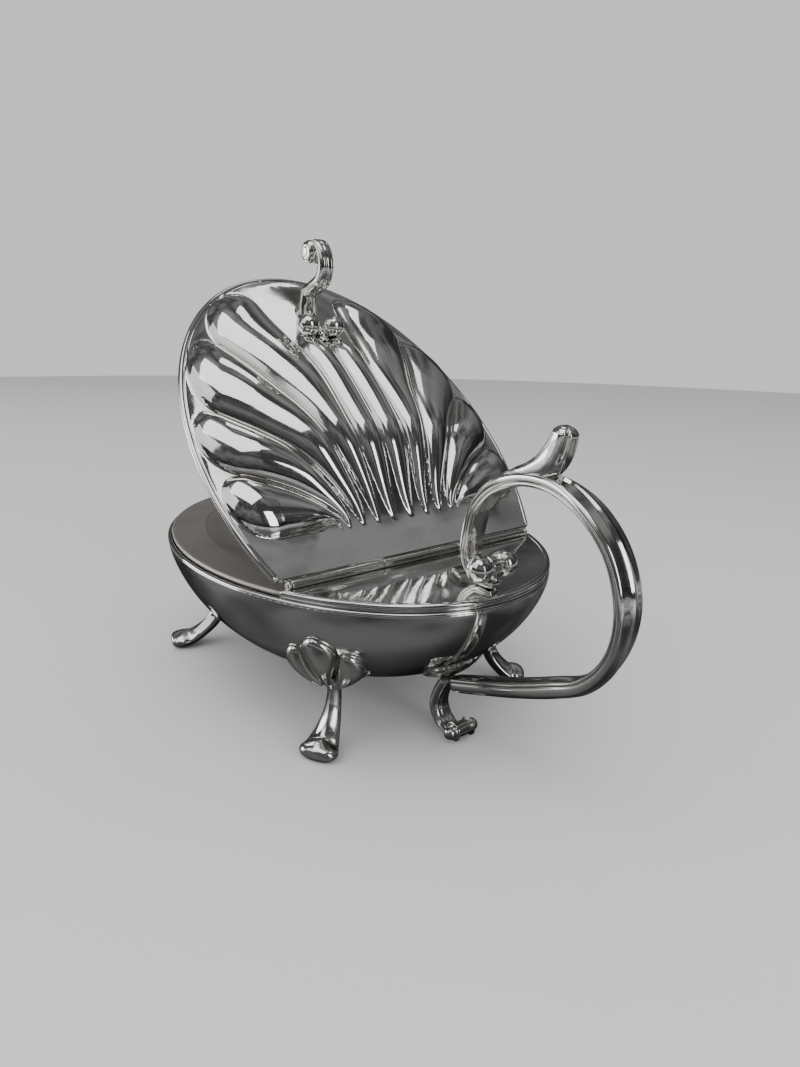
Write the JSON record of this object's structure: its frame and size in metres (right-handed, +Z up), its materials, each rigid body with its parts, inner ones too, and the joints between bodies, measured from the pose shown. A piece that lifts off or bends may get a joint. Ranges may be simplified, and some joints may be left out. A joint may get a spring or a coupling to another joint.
{
  "type": "covered caviar server",
  "caption": "Oval silver dish on cabriole feet with a hinged fluted lid, a fixed rear cover, a lift-out liner and a loop handle.",
  "frame": {"origin": "on the table, below the middle of the whole piece", "axes": "+Z up; +X from the open mouth towards the handle; the lid's hinge lies along Y"},
  "size_m": [0.1824, 0.1076, 0.1386],
  "materials": {
    "polished_silver": "polished silver plate with fine scratches",
    "cast_silver": "cast and polished silver plate, a little tarnished in its hollows",
    "hinge_silver": "worn silver plate",
    "satin_liner": "warm grey satin"
  },
  "bodies": {
    "base": {"bowl": "polished_silver", "bowl_rim_wire": "polished_silver", "liner": "satin_liner", "rear_cover": "polished_silver", "cover_moulding": "polished_silver", "hinge_knuckle_left": "hinge_silver", "hinge_knuckle_right": "hinge_silver", "hinge_pin": "hinge_silver", "handle_strap": "cast_silver", "thumb_rest": "cast_silver", "upper_scroll_roll": "cast_silver", "handle_leaf": "cast_silver", "tail_scroll": "cast_silver", "tail_roll": "cast_silver", "knee_shell_front_left": "cast_silver", "foot_front_left": "cast_silver", "knee_shell_front_right": "cast_silver", "foot_front_right": "cast_silver", "knee_shell_rear_left": "cast_silver", "foot_rear_left": "cast_silver", "knee_shell_rear_right": "cast_silver", "foot_rear_right": "cast_silver"},
    "lid": {"lid_knuckle": "hinge_silver", "lid_shell": "polished_silver", "lid_rim_wire": "polished_silver", "finial_leaf": "cast_silver", "finial_boss_left": "cast_silver", "finial_boss_right": "cast_silver", "finial_stem": "cast_silver", "finial_curl": "cast_silver"}
  },
  "joints": [
    {"name": "lid_hinge", "type": "hinge", "parent": "base", "child": "lid", "pos_m": [0.02134, 0, 0.0492], "axis": [0, 1, 0], "range_deg": [-44, 56]}
  ]
}
